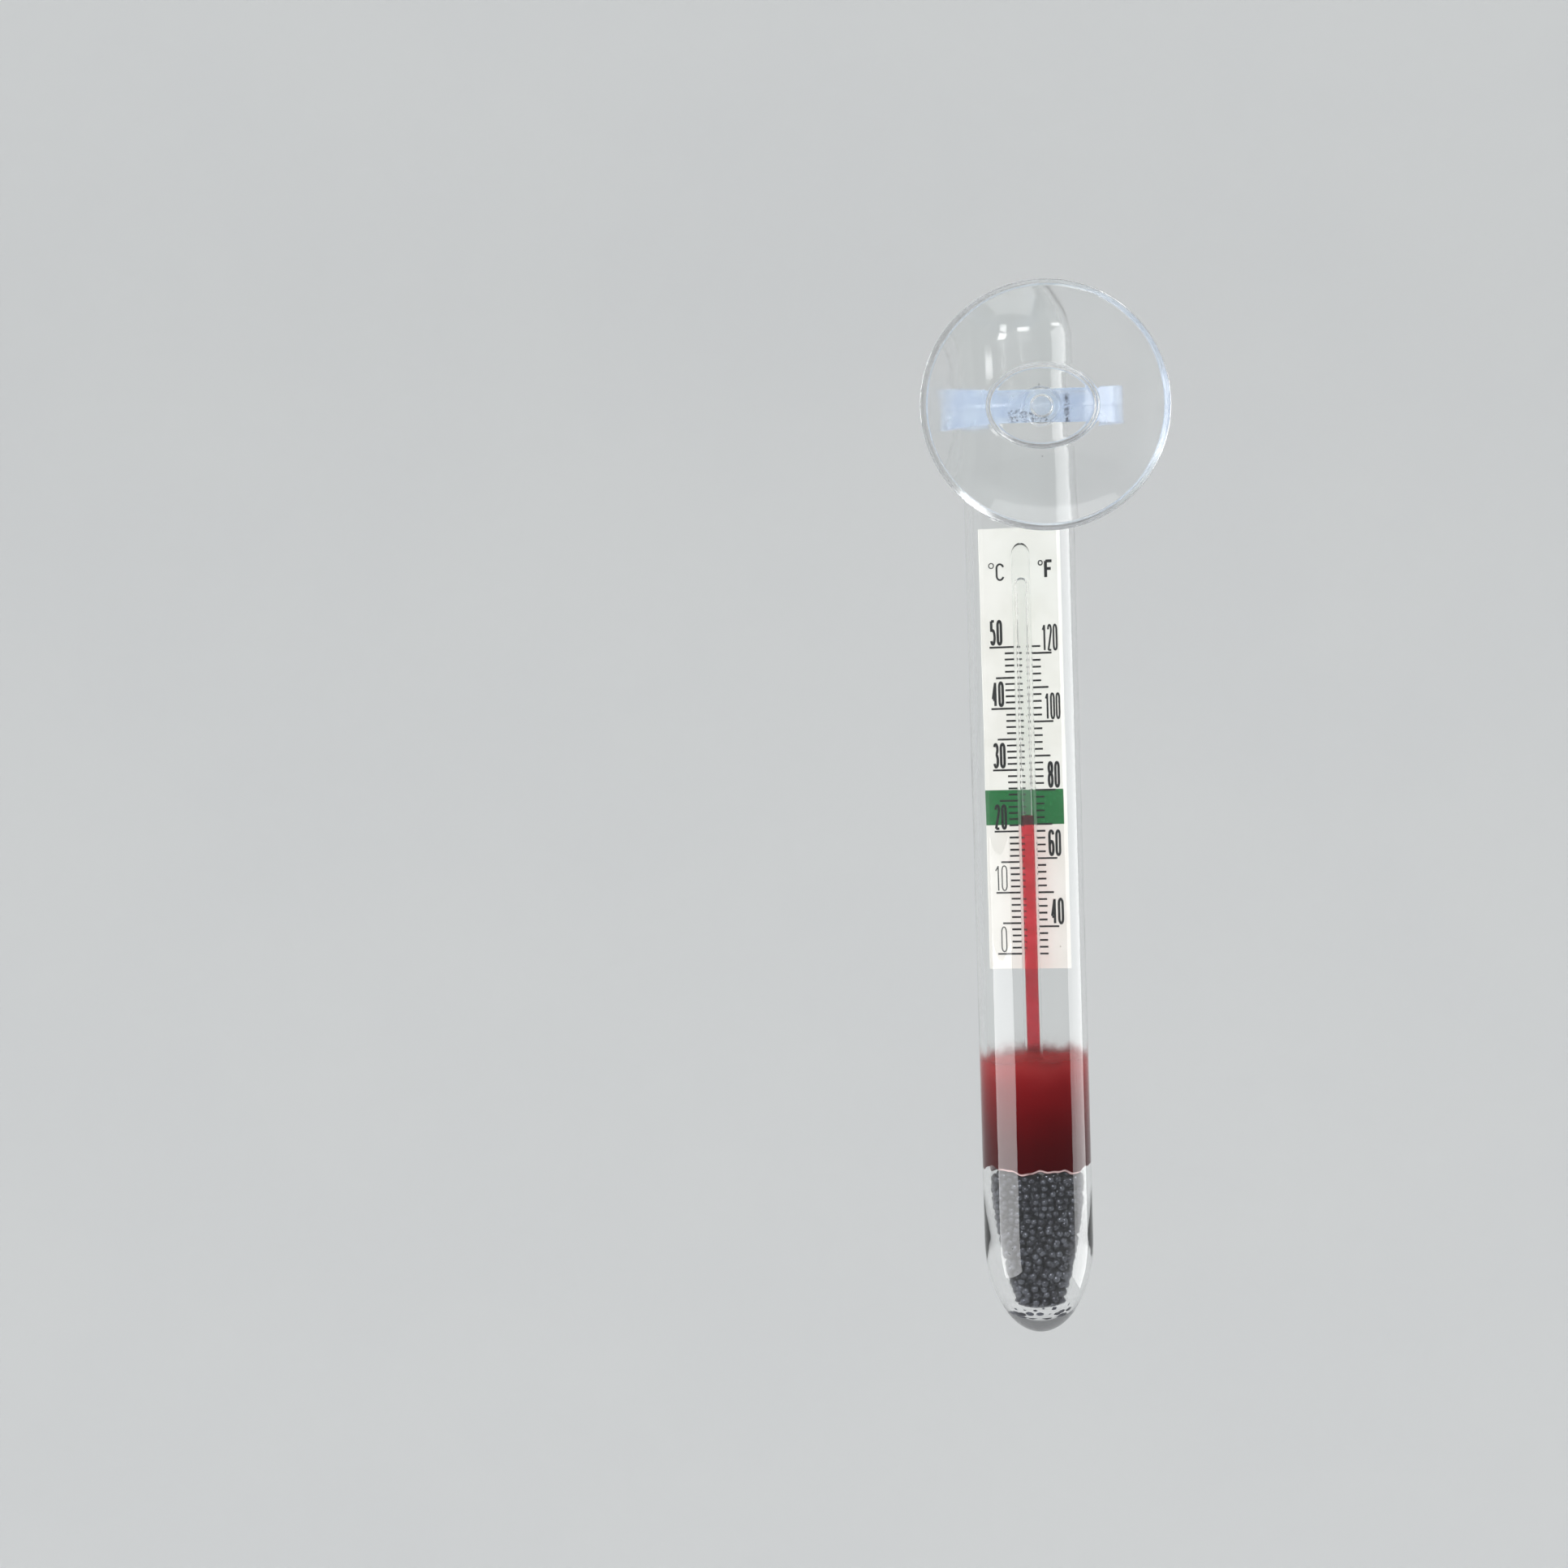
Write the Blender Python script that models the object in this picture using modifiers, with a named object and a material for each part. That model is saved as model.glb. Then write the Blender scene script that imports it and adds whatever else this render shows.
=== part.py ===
"""Floating glass aquarium thermometer, held by a band and a suction cup.

Frame, in metres: the origin is the centre of the suction cup's sealing face,
+Z runs up along the glass tube, +Y points from the aquarium wall into the water,
and +X is to the right for someone who reads the scale through the wall.
Heights along the tube are measured up from the tube's lowest point.
"""

import math

import bpy
from mathutils import Matrix

# ---------------------------------------------------------------- driving dimensions
TUBE_LENGTH = 0.1050
TUBE_R = 0.0055
TUBE_WALL = 0.0007
TUBE_AXIS_X = -0.00195
TUBE_AXIS_Y = 0.01544
TUBE_FOOT_Z = -0.0935          # lowest point of the tube, below the cup's centre
TUBE_NOSE = 0.0095             # height of the rounded lower end
CAVITY_FLOOR = 0.0024          # the glass under the cavity is this thick
CAVITY_TIP_R = 0.0027
CAVITY_TIP_H = 0.0016
CAVITY_FULL_H = 0.0150         # the bore has its full width from here up
SEAL_SPLIT = 0.0985            # height where the fused end joins the tube

CUP_R = 0.01225
CUP_LIP = 0.0010               # width of the flat sealing face
CUP_EDGE = 0.0006              # thickness of the edge
CUP_DISH = 0.0036              # depth of the hollow
CUP_BACK = 0.0058              # height of the back's dome
BOSS_HALF_X = 0.0056
BOSS_HALF_Z = 0.00415
BOSS_START_Y = 0.0044
BOSS_END_Y = 0.0069
NECK_R = 0.0010
KNOB_R = 0.0022
KNOB_START_Y = 0.00825
KNOB_END_Y = 0.0100

BAND_HALF_X = 0.00825
BAND_HALF_Y = 0.0080
BAND_FRONT_Y = 0.00715
BAND_WALL = 0.0005
BAND_HEIGHT = 0.0036
BAND_HOLE_R = 0.00125

GAP = 0.0003                   # between a piece and the one that it is fitted to
THREAD_GAP = 0.0001            # between the red thread and its fine bore

BALLAST_TOP = 0.0164
WAX_FLOOR = 0.0169
WAX_TOP = 0.0281
BULB_FLOOR = 0.0180
BULB_R = 0.0037
BULB_WALL = 0.00045
BULB_SHOULDER = 0.0262         # the bulb narrows from here to its neck
BULB_TOP = 0.0284
STEM_R = 0.00093
BORE_R = 0.00043
BORE_END = 0.0765
BORE_END_R = 0.00050
STEM_TOP = 0.0800

ZERO_HEIGHT = 0.0384           # where the thread stands at 0 degrees Celsius
DEGREE = 0.000622              # its rise for each degree
READING = 22.7
MENISCUS_LENGTH = 0.0020

CARD_WIDTH = 0.0085
CARD_BOTTOM = 0.0369
CARD_TOP = 0.0815
CARD_THICK = 0.0002
CARD_BEHIND = 0.00115          # from the tube's axis to the printed face

CUP_STEPS = 48                 # facets round the cup
TURN_STEPS = 40                # and round the larger turned pieces
INNER_STEPS = 32               # and round what lies inside the tube
FINE_STEPS = 20                # and round the capillary and the knob
MERGE = 0.00001


# ---------------------------------------------------------------- helpers
def clear_scene():
    for obj in list(bpy.data.objects):
        bpy.data.objects.remove(obj, do_unlink=True)


def new_collection(name):
    collection = bpy.data.collections.new(name)
    bpy.context.scene.collection.children.link(collection)
    return collection


def move_to(obj, collection):
    for owner in list(obj.users_collection):
        owner.objects.unlink(obj)
    collection.objects.link(obj)


def material(name, colour, roughness, metallic=0.0, transmission=0.0):
    """A Principled material for one piece."""
    mat = bpy.data.materials.new(name)
    mat.use_nodes = True
    shader = mat.node_tree.nodes["Principled BSDF"]
    shader.inputs["Base Color"].default_value = (*colour, 1.0)
    shader.inputs["Roughness"].default_value = roughness
    shader.inputs["Metallic"].default_value = metallic
    shader.inputs["Transmission Weight"].default_value = transmission
    mat.diffuse_color = (*colour, 1.0)
    return mat


def finish_piece(obj, collection, mat):
    move_to(obj, collection)
    obj.data.materials.clear()
    obj.data.materials.append(mat)
    obj.data.shade_smooth()


def as_cutter(obj, collection):
    move_to(obj, collection)
    obj.hide_render = True
    obj.display_type = "WIRE"


def arc(centre, radii, start_deg, end_deg, count):
    """Points (r, h) of an ellipse's arc, from one angle to another."""
    points = []
    for i in range(count + 1):
        angle = math.radians(start_deg + (end_deg - start_deg) * i / count)
        points.append((centre[0] + radii[0] * math.cos(angle),
                       centre[1] + radii[1] * math.sin(angle)))
    return points


def dome(edge_r, edge_h, apex_h, count):
    """Points of a round dome centred on the axis, from its apex down to its edge."""
    rise = apex_h - edge_h
    radius = (edge_r * edge_r + rise * rise) / (2.0 * rise)
    edge_deg = math.degrees(math.acos(edge_r / radius))
    points = arc((0.0, apex_h - radius), (radius, radius), 90, edge_deg, count)
    return [(0.0, apex_h)] + points[1:]


def turned(name, profile, steps=TURN_STEPS):
    """A piece turned about its own Z from (r, h) points, down the outer side first."""
    mesh = bpy.data.meshes.new(name)
    edges = [(i, i + 1) for i in range(len(profile) - 1)]
    mesh.from_pydata([(r, 0.0, h) for r, h in profile], edges, [])
    obj = bpy.data.objects.new(name, mesh)
    bpy.context.scene.collection.objects.link(obj)
    screw = obj.modifiers.new("turn", "SCREW")
    screw.axis = "Z"
    screw.angle = 2.0 * math.pi
    screw.steps = steps
    screw.render_steps = steps
    screw.use_merge_vertices = True
    screw.merge_threshold = MERGE
    return obj


def axis_empty(name, location, collection, parent=None):
    """An empty on a joint's axis, which the pieces of one moving body hang from."""
    empty = bpy.data.objects.new(name, None)
    empty.empty_display_size = 0.004
    empty.parent = parent
    empty.location = location
    collection.objects.link(empty)
    return empty


def apply_scale(obj):
    obj.data.transform(Matrix.Diagonal((*obj.scale, 1.0)))
    obj.scale = (1.0, 1.0, 1.0)


def boolean(obj, operation, other):
    cut = obj.modifiers.new(other.name, "BOOLEAN")
    cut.operation = operation
    cut.object = other
    cut.solver = "EXACT"


def cavity_radius(h):
    """The tube's inner radius at a height: a small round tip, then a long eased flare."""
    full = TUBE_R - TUBE_WALL
    tip_top = CAVITY_FLOOR + CAVITY_TIP_H
    if h <= tip_top:
        drop = (tip_top - h) / CAVITY_TIP_H
        return CAVITY_TIP_R * math.sqrt(max(0.0, 1.0 - drop * drop))
    part = min(1.0, (h - tip_top) / (CAVITY_FULL_H - tip_top))
    return CAVITY_TIP_R + (full - CAVITY_TIP_R) * math.sin(0.5 * math.pi * part) ** 0.85


def cavity_profile(inset, top, count=12):
    """The cavity's outline from its tip up to a height, drawn in by an inset.

    The points crowd towards the tip, where the outline turns fastest."""
    floor = CAVITY_FLOOR + inset
    flare_top = min(top, CAVITY_FULL_H)
    points = [(0.0, floor)]
    for i in range(1, count + 1):
        h = floor + (flare_top - floor) * (i / count) ** 1.4
        points.append((cavity_radius(h) - inset, h))
    if top > CAVITY_FULL_H:
        points.append((TUBE_R - TUBE_WALL - inset, top))
    return points


# ---------------------------------------------------------------- cup and band
def suction_cup(collection, cutters, mat):
    """A turned dish, an oval boss on its back, and a knob on a short neck."""
    back = dome(CUP_R, CUP_EDGE, CUP_BACK, 9)
    hollow = dome(CUP_R - CUP_LIP, 0.0, CUP_DISH, 9)
    cup = turned("suction_cup", back + [(CUP_R, 0.0)] + hollow[::-1], CUP_STEPS)
    cup.rotation_euler.x = -0.5 * math.pi

    depth = BOSS_END_Y - BOSS_START_Y
    bpy.ops.mesh.primitive_cylinder_add(vertices=40, radius=1.0, depth=depth)
    boss = bpy.context.object
    boss.name = "boss_form"
    boss.scale = (BOSS_HALF_X, BOSS_HALF_Z, 1.0)
    apply_scale(boss)
    boss.rotation_euler.x = -0.5 * math.pi
    boss.location.y = BOSS_START_Y + 0.5 * depth
    edge = boss.modifiers.new("soft_edge", "BEVEL")
    edge.width = 0.0005
    edge.segments = 2
    edge.limit_method = "ANGLE"
    edge.angle_limit = math.radians(60)
    as_cutter(boss, cutters)

    head = arc((0.0, KNOB_START_Y + 0.0004), (KNOB_R, KNOB_END_Y - KNOB_START_Y - 0.0004), 90, 0, 5)
    knob_profile = [(0.0, KNOB_END_Y)] + head[1:] + [(KNOB_R, KNOB_START_Y), (NECK_R, KNOB_START_Y)]
    knob_profile += [(NECK_R, BOSS_END_Y - 0.0012), (0.0, BOSS_END_Y - 0.0012)]
    knob = turned("knob_form", knob_profile, FINE_STEPS)
    knob.rotation_euler.x = -0.5 * math.pi
    as_cutter(knob, cutters)

    boolean(cup, "UNION", boss)
    boolean(cup, "UNION", knob)
    finish_piece(cup, collection, mat)
    return cup


def ring_clip(collection, cutters, mat, pivot):
    """A soft oval band round the tube, with a hole in front for the cup's neck."""
    bpy.ops.mesh.primitive_cylinder_add(vertices=56, radius=1.0, depth=BAND_HEIGHT,
                                        end_fill_type="NOTHING")
    band = bpy.context.object
    band.name = "ring_clip"
    band.scale = (BAND_HALF_X, BAND_HALF_Y, 1.0)
    apply_scale(band)
    band.data.transform(Matrix.Translation((0.0, BAND_FRONT_Y + BAND_HALF_Y, 0.0)))
    band.parent = pivot
    shell = band.modifiers.new("wall", "SOLIDIFY")
    shell.thickness = BAND_WALL
    shell.offset = -1.0
    shell.use_even_offset = True

    bpy.ops.mesh.primitive_cylinder_add(vertices=24, radius=BAND_HOLE_R, depth=0.004)
    hole = bpy.context.object
    hole.name = "neck_hole_form"
    hole.rotation_euler.x = 0.5 * math.pi
    hole.location.y = BAND_FRONT_Y
    as_cutter(hole, cutters)
    boolean(band, "DIFFERENCE", hole)
    finish_piece(band, collection, mat)
    return band


# ---------------------------------------------------------------- outer glass
def glass_tube(collection, mat, parent):
    """The tube: straight, round-nosed below, with a tapered cavity and thick foot."""
    inner = cavity_profile(0.0, SEAL_SPLIT)
    outer = arc((0.0, TUBE_NOSE), (TUBE_R, TUBE_NOSE), 0, -90, 10)
    profile = inner + [(TUBE_R, SEAL_SPLIT)] + outer[:-1] + [(0.0, 0.0)]
    tube = turned("glass_tube", profile)
    tube.parent = parent
    finish_piece(tube, collection, mat)
    return tube


def sealed_end(collection, mat, parent):
    """The domed end, where the tube was closed in the flame."""
    base = SEAL_SPLIT + GAP
    rise = TUBE_LENGTH - base - 0.0008
    inner_r = TUBE_R - TUBE_WALL
    outer = [(0.0, TUBE_LENGTH)] + arc((0.0, TUBE_LENGTH - rise), (TUBE_R, rise), 90, 0, 8)[1:]
    inner = arc((0.0, TUBE_LENGTH - rise), (inner_r, rise - 1.3 * TUBE_WALL), 0, 90, 7)
    profile = outer + [(TUBE_R, base), (inner_r, base)] + inner[:-1]
    profile.append((0.0, TUBE_LENGTH - 1.3 * TUBE_WALL))
    cap = turned("sealed_end", profile)
    cap.parent = parent
    finish_piece(cap, collection, mat)
    return cap


# ---------------------------------------------------------------- contents
def ballast_shot(collection, mat, parent):
    """The charge of fine metal shot in the tube's foot, as one slug of its shape."""
    profile = cavity_profile(GAP, BALLAST_TOP)
    slug = turned("ballast_shot", [(0.0, BALLAST_TOP)] + profile[::-1], INNER_STEPS)
    slug.parent = parent
    finish_piece(slug, collection, mat)
    return slug


def red_seal(collection, mat, parent):
    """The dyed wax plug that holds the bulb in the tube: a cup, open on top."""
    outer_r = TUBE_R - TUBE_WALL - GAP
    inner_r = BULB_R + GAP
    floor = BULB_FLOOR - GAP
    well = arc((0.0, floor + inner_r), (inner_r, inner_r), -90, 0, 6)
    profile = [(0.0, floor)] + well[1:] + [(inner_r, WAX_TOP), (outer_r, WAX_TOP)]
    profile += [(outer_r, WAX_FLOOR), (0.0, WAX_FLOOR)]
    plug = turned("red_seal", profile, INNER_STEPS)
    plug.parent = parent
    finish_piece(plug, collection, mat)
    return plug


def spirit_bulb(collection, mat, parent):
    """The thin glass bulb, open through its neck into the capillary's bore."""
    inner_r = BULB_R - BULB_WALL
    inner_floor = BULB_FLOOR + BULB_WALL
    shoulder = BULB_TOP - BULB_SHOULDER
    inner = arc((0.0, inner_floor + inner_r), (inner_r, inner_r), -90, 0, 6)
    outer = arc((0.0, BULB_FLOOR + BULB_R), (BULB_R, BULB_R), 0, -90, 6)
    inside_top = arc((BORE_R, BULB_SHOULDER), (inner_r - BORE_R, shoulder - 2.0 * BULB_WALL), 0, 90, 4)
    outside_top = arc((STEM_R, BULB_SHOULDER), (BULB_R - STEM_R, shoulder - BULB_WALL), 90, 0, 4)
    profile = [(0.0, inner_floor)] + inner[1:] + inside_top
    profile += [(BORE_R, BULB_TOP), (STEM_R, BULB_TOP)] + outside_top + outer[:-1] + [(0.0, BULB_FLOOR)]
    bulb = turned("spirit_bulb", profile, INNER_STEPS)
    bulb.parent = parent
    finish_piece(bulb, collection, mat)
    return bulb


def spirit_charge(collection, mat, parent):
    """The red spirit that fills the bulb."""
    radius = BULB_R - BULB_WALL - GAP
    floor = BULB_FLOOR + BULB_WALL + GAP
    lower = arc((0.0, floor + radius), (radius, radius), 0, -90, 6)
    profile = [(0.0, BULB_SHOULDER), (radius, BULB_SHOULDER)] + lower[:-1] + [(0.0, floor)]
    charge = turned("spirit_charge", profile, INNER_STEPS)
    charge.parent = parent
    finish_piece(charge, collection, mat)
    return charge


def capillary_stem(collection, mat, parent):
    """The thick-walled capillary, with a small chamber at the bore's upper end."""
    crown = arc((0.0, STEM_TOP - STEM_R), (STEM_R, STEM_R), 90, 0, 5)
    chamber = arc((0.0, BORE_END - BORE_END_R), (BORE_END_R, BORE_END_R), 0, 90, 4)
    foot = BULB_TOP + GAP
    profile = [(0.0, STEM_TOP)] + crown[1:] + [(STEM_R, foot), (BORE_R, foot)]
    profile += [(BORE_R, BORE_END - 4.0 * BORE_END_R)] + chamber[:-1] + [(0.0, BORE_END)]
    stem = turned("capillary_stem", profile, FINE_STEPS)
    stem.parent = parent
    finish_piece(stem, collection, mat)
    return stem


def red_thread(name, bottom, top, collection, mat, parent):
    """A length of the red thread: a plain round rod with a slightly domed top."""
    radius = BORE_R - THREAD_GAP
    crown = arc((0.0, top - 0.5 * radius), (radius, 0.5 * radius), 90, 0, 3)
    profile = [(0.0, top)] + crown[1:] + [(radius, bottom), (0.0, bottom)]
    thread = turned(name, profile, 12)
    thread.parent = parent
    finish_piece(thread, collection, mat)
    return thread


def scale_card(collection, mat, parent):
    """The flat printed card that stands behind the capillary."""
    bpy.ops.mesh.primitive_cube_add(size=1.0)
    card = bpy.context.object
    card.name = "scale_card"
    card.scale = (CARD_WIDTH, CARD_THICK, CARD_TOP - CARD_BOTTOM)
    apply_scale(card)
    card.parent = parent
    card.location = (0.0, CARD_BEHIND + 0.5 * CARD_THICK, 0.5 * (CARD_BOTTOM + CARD_TOP))
    finish_piece(card, collection, mat)
    card.data.shade_flat()
    return card


# ---------------------------------------------------------------- assembly
def build():
    clear_scene()
    parts = new_collection("glass_thermometer")
    cutters = new_collection("cutters")

    clear_vinyl = material("clear_vinyl", (0.80, 0.86, 0.87), 0.12, transmission=0.9)
    blue_vinyl = material("blue_vinyl", (0.42, 0.54, 0.74), 0.30, transmission=0.4)
    tube_glass = material("tube_glass", (0.90, 0.95, 0.95), 0.02, transmission=1.0)
    dome_glass = material("dome_glass", (0.88, 0.94, 0.94), 0.02, transmission=1.0)
    stem_glass = material("stem_glass", (0.93, 0.95, 0.95), 0.02, transmission=1.0)
    bulb_glass = material("bulb_glass", (0.93, 0.95, 0.95), 0.02, transmission=1.0)
    red_wax = material("red_wax", (0.22, 0.004, 0.010), 0.35)
    bulb_spirit = material("bulb_spirit", (0.35, 0.005, 0.015), 0.10)
    thread_spirit = material("thread_spirit", (0.60, 0.020, 0.045), 0.10)
    tip_spirit = material("tip_spirit", (0.50, 0.015, 0.035), 0.10)
    shot_metal = material("shot_metal", (0.06, 0.06, 0.07), 0.35, metallic=0.8)
    card_paper = material("card_paper", (0.80, 0.78, 0.73), 0.70)

    swivel_pivot = axis_empty("swivel_pivot", (0.0, 0.0, 0.0), parts)
    tube_axis = axis_empty("tube_axis", (TUBE_AXIS_X, TUBE_AXIS_Y, TUBE_FOOT_Z), parts, swivel_pivot)
    contents_axis = axis_empty("contents_axis", (0.0, 0.0, 0.0), parts, tube_axis)

    suction_cup(parts, cutters, clear_vinyl)
    ring_clip(parts, cutters, blue_vinyl, swivel_pivot)
    glass_tube(parts, tube_glass, tube_axis)
    sealed_end(parts, dome_glass, tube_axis)
    ballast_shot(parts, shot_metal, contents_axis)
    red_seal(parts, red_wax, contents_axis)
    spirit_bulb(parts, bulb_glass, contents_axis)
    spirit_charge(parts, bulb_spirit, contents_axis)
    capillary_stem(parts, stem_glass, contents_axis)
    scale_card(parts, card_paper, contents_axis)

    thread_top = ZERO_HEIGHT + READING * DEGREE
    tip_bottom = thread_top - MENISCUS_LENGTH
    tip_slide = axis_empty("tip_slide", (0.0, 0.0, 0.0), parts, contents_axis)
    red_thread("spirit_column", BULB_SHOULDER + GAP, tip_bottom - THREAD_GAP, parts,
               thread_spirit, contents_axis)
    red_thread("spirit_meniscus", tip_bottom, thread_top, parts, tip_spirit, tip_slide)


build()
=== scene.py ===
import math

import bmesh
import bpy
import numpy as np
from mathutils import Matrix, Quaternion, Vector


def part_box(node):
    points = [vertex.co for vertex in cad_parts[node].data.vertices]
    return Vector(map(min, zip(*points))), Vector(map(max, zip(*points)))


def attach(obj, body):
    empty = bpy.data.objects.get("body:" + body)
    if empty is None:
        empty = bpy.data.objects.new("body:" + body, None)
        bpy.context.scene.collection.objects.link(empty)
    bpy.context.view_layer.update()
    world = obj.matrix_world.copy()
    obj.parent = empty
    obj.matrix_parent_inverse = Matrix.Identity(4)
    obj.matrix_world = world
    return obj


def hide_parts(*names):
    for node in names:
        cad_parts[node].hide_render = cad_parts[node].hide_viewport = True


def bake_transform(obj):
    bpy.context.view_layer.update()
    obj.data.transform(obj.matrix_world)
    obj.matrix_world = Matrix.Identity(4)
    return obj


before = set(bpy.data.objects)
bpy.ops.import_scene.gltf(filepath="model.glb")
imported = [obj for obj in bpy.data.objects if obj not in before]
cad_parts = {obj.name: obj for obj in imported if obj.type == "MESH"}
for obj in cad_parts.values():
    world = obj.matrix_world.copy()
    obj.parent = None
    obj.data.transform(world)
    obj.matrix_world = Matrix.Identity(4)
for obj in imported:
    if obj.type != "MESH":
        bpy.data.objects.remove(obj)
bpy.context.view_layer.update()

MM = 0.001


def extent(node):
    """A CAD node's lowest and highest corners."""
    low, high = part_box(node)
    return np.array(low), np.array(high)


# ---------------------------------------------------------------- sizes read from the CAD nodes in model.glb
tube_low, tube_high = extent("glass_tube")
AXIS = 0.5 * (tube_low + tube_high)[:2]            # x and y of the tube's axis
FOOT = tube_low[2]                                 # heights below are measured up from here
TUBE_R = 0.5 * (tube_high - tube_low)[0]
TUBE_TOP = extent("sealed_end")[1][2] - FOOT

cup_low, cup_high = extent("suction_cup")
CUP_R = 0.5 * (cup_high - cup_low)[0]
KNOB_END = cup_high[1]

band_low, band_high = extent("ring_clip")
BAND_HALF = 0.5 * (band_high - band_low)
BAND_CENTRE = 0.5 * (band_high + band_low)

stem_low, stem_high = extent("capillary_stem")
STEM_R = 0.5 * (stem_high - stem_low)[0]
STEM_TOP = stem_high[2] - FOOT

bulb_low, bulb_high = extent("spirit_bulb")
BULB_R = 0.5 * (bulb_high - bulb_low)[0]
BULB_FLOOR = bulb_low[2] - FOOT

column_low, column_high = extent("spirit_column")
BORE_R = 0.5 * (column_high - column_low)[0] + 0.1 * MM
COLUMN_FOOT = column_low[2] - FOOT

tip_low, tip_high = extent("spirit_meniscus")
TIP_FOOT = tip_low[2] - FOOT
READING_TOP = tip_high[2] - FOOT

card_low, card_high = extent("scale_card")
CARD_HALF = 0.5 * (card_high - card_low)[0]
CARD_BOTTOM = card_low[2] - FOOT
CARD_TOP = card_high[2] - FOOT
CARD_FACE = card_low[1]
CARD_THICK = (card_high - card_low)[1]

# ---------------------------------------------------------------- sizes of the details
WALL = 0.7 * MM
CAVITY_R = TUBE_R - WALL
NOSE = 9.5 * MM
CAVITY_FLOOR = 2.4 * MM
CAVITY_TIP_R = 2.7 * MM
CAVITY_TIP_H = 1.6 * MM
CAVITY_FULL_H = 15.0 * MM
TOUCH = 0.01 * MM              # how far a filling reaches into the glass it wets

CUP_LIP = 0.7 * MM
CUP_EDGE = 0.45 * MM
CUP_DISH = 3.6 * MM
CUP_BACK = 5.8 * MM
BOSS_X = 5.6 * MM
BOSS_Z = 4.15 * MM
BOSS_END = 6.9 * MM
NECK_R = 1.0 * MM
KNOB_R = 2.2 * MM
KNOB_START = 8.25 * MM

BAND_WALL = 0.5 * MM
BAND_HOLE_R = 1.25 * MM
BAND_PATCH = 2.3 * MM          # half the length of the stretch round the hole
GROOVE_DEPTH = 0.07 * MM
GROOVE_HALF = 0.12 * MM
# two dark, grainy patches on the band's front
DARK_PATCHES = [(-3.6 * MM, 0.6 * MM, -1.7 * MM, -0.3 * MM, 0.50),   # left, right, low, high, and how sparse
          (2.4 * MM, 2.9 * MM, -2.3 * MM, 1.2 * MM, 0.42)]

BULB_WALL = 0.45 * MM
BULB_TOP = 27.15 * MM
BULB_SHOULDER = 7.4 * MM       # above the bulb's floor
STEM_FOOT = 27.2 * MM
BORE_END = 76.5 * MM
BORE_END_R = 0.5 * MM

WAX_EDGE = 16.75 * MM          # the wax's lower edge, round the wall
WAX_TOP = 27.55 * MM
WAX_LINE = 12.0 / 128          # where the lower edge's rounding lies along the piece's v
WAX_DISH = 0.55 * MM           # how far the wax's top rises to the wall
WAX_CURL = 0.3 * MM            # the rounding between its lower edge and its side
FILM_TOP = 29.6 * MM           # where the wax crept up the glass while it was hot
SHOT_TOP = 16.9 * MM
SHOT_R = 0.40 * MM

ZERO_HEIGHT = 38.4 * MM
DEGREE = 0.622 * MM
GREEN_LOW = 51.50 * MM
GREEN_HIGH = 55.05 * MM
SIGNS_BOTTOM = 76.2 * MM
INK = 0.012 * MM               # how far the black print stands off the card
GREEN_INK = 0.006 * MM
PEN = 0.19 * MM

STAGE_DROP = 0.34              # the floor lies this far below the tube's foot, in metres
STAGE_FLAT = 0.8               # the flat floor's radius
STAGE_BEND = 0.5               # the radius of its curve up into the wall
STAGE_RISE = 1.6


# ---------------------------------------------------------------- meshes
def quads(rows, columns, first=0):
    """The corners of the faces between neighbouring rows and columns of a grid of points."""
    at = first + np.arange(rows * columns).reshape(rows, columns)
    return np.stack([at[:-1, :-1], at[:-1, 1:], at[1:, 1:], at[1:, :-1]], axis=-1).reshape(-1, 4)


def skin(name, grids, sharp=40.0):
    """A mesh of one or more grids of points. A grid's columns give u, and its rows give v.

    Points that lie on each other are merged, which closes the seams and the poles.
    """
    counts = [grid.shape[0] * grid.shape[1] for grid in grids]
    firsts = np.cumsum([0] + counts[:-1])
    corners = np.concatenate([quads(*g.shape[:2], f) for g, f in zip(grids, firsts)]).ravel()
    points = np.concatenate([grid.reshape(-1, 3) for grid in grids])
    spread = [np.stack(np.meshgrid(np.linspace(0, 1, g.shape[1]), np.linspace(0, 1, g.shape[0])), -1)
              for g in grids]
    spread = np.concatenate([s.reshape(-1, 2) for s in spread])
    mesh = bpy.data.meshes.new(name)
    mesh.vertices.add(len(points))
    mesh.vertices.foreach_set("co", points.astype(np.float32).ravel())
    mesh.loops.add(len(corners))
    mesh.loops.foreach_set("vertex_index", corners.astype(np.int32))
    mesh.polygons.add(len(corners) // 4)
    mesh.polygons.foreach_set("loop_start", np.arange(0, len(corners), 4, dtype=np.int32))
    mesh.uv_layers.new(name="spread").data.foreach_set("uv", spread[corners].astype(np.float32).ravel())
    mesh.update(calc_edges=True)
    form = bmesh.new()
    form.from_mesh(mesh)
    bmesh.ops.remove_doubles(form, verts=form.verts, dist=0.0005 * MM)
    form.to_mesh(mesh)
    form.free()
    mesh.shade_smooth()
    if sharp < 180:
        mesh.set_sharp_from_angle(angle=math.radians(sharp))
    piece = bpy.data.objects.new(name, mesh)
    bpy.context.scene.collection.objects.link(piece)
    return piece


def bow(centre_x, centre_y, radius_x, radius_y, start, end, count=14):
    """Points on an ellipse's arc, from one angle to another in degrees."""
    t = np.radians(np.linspace(start, end, count))
    return np.stack([centre_x + radius_x * np.cos(t), centre_y + radius_y * np.sin(t)], axis=-1)


def run(start, end, count):
    """Points spaced evenly on a straight line, without its last point."""
    t = np.linspace(0, 1, count + 1)[:-1, None]
    return np.array(start) * (1 - t) + np.array(end) * t


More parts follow.
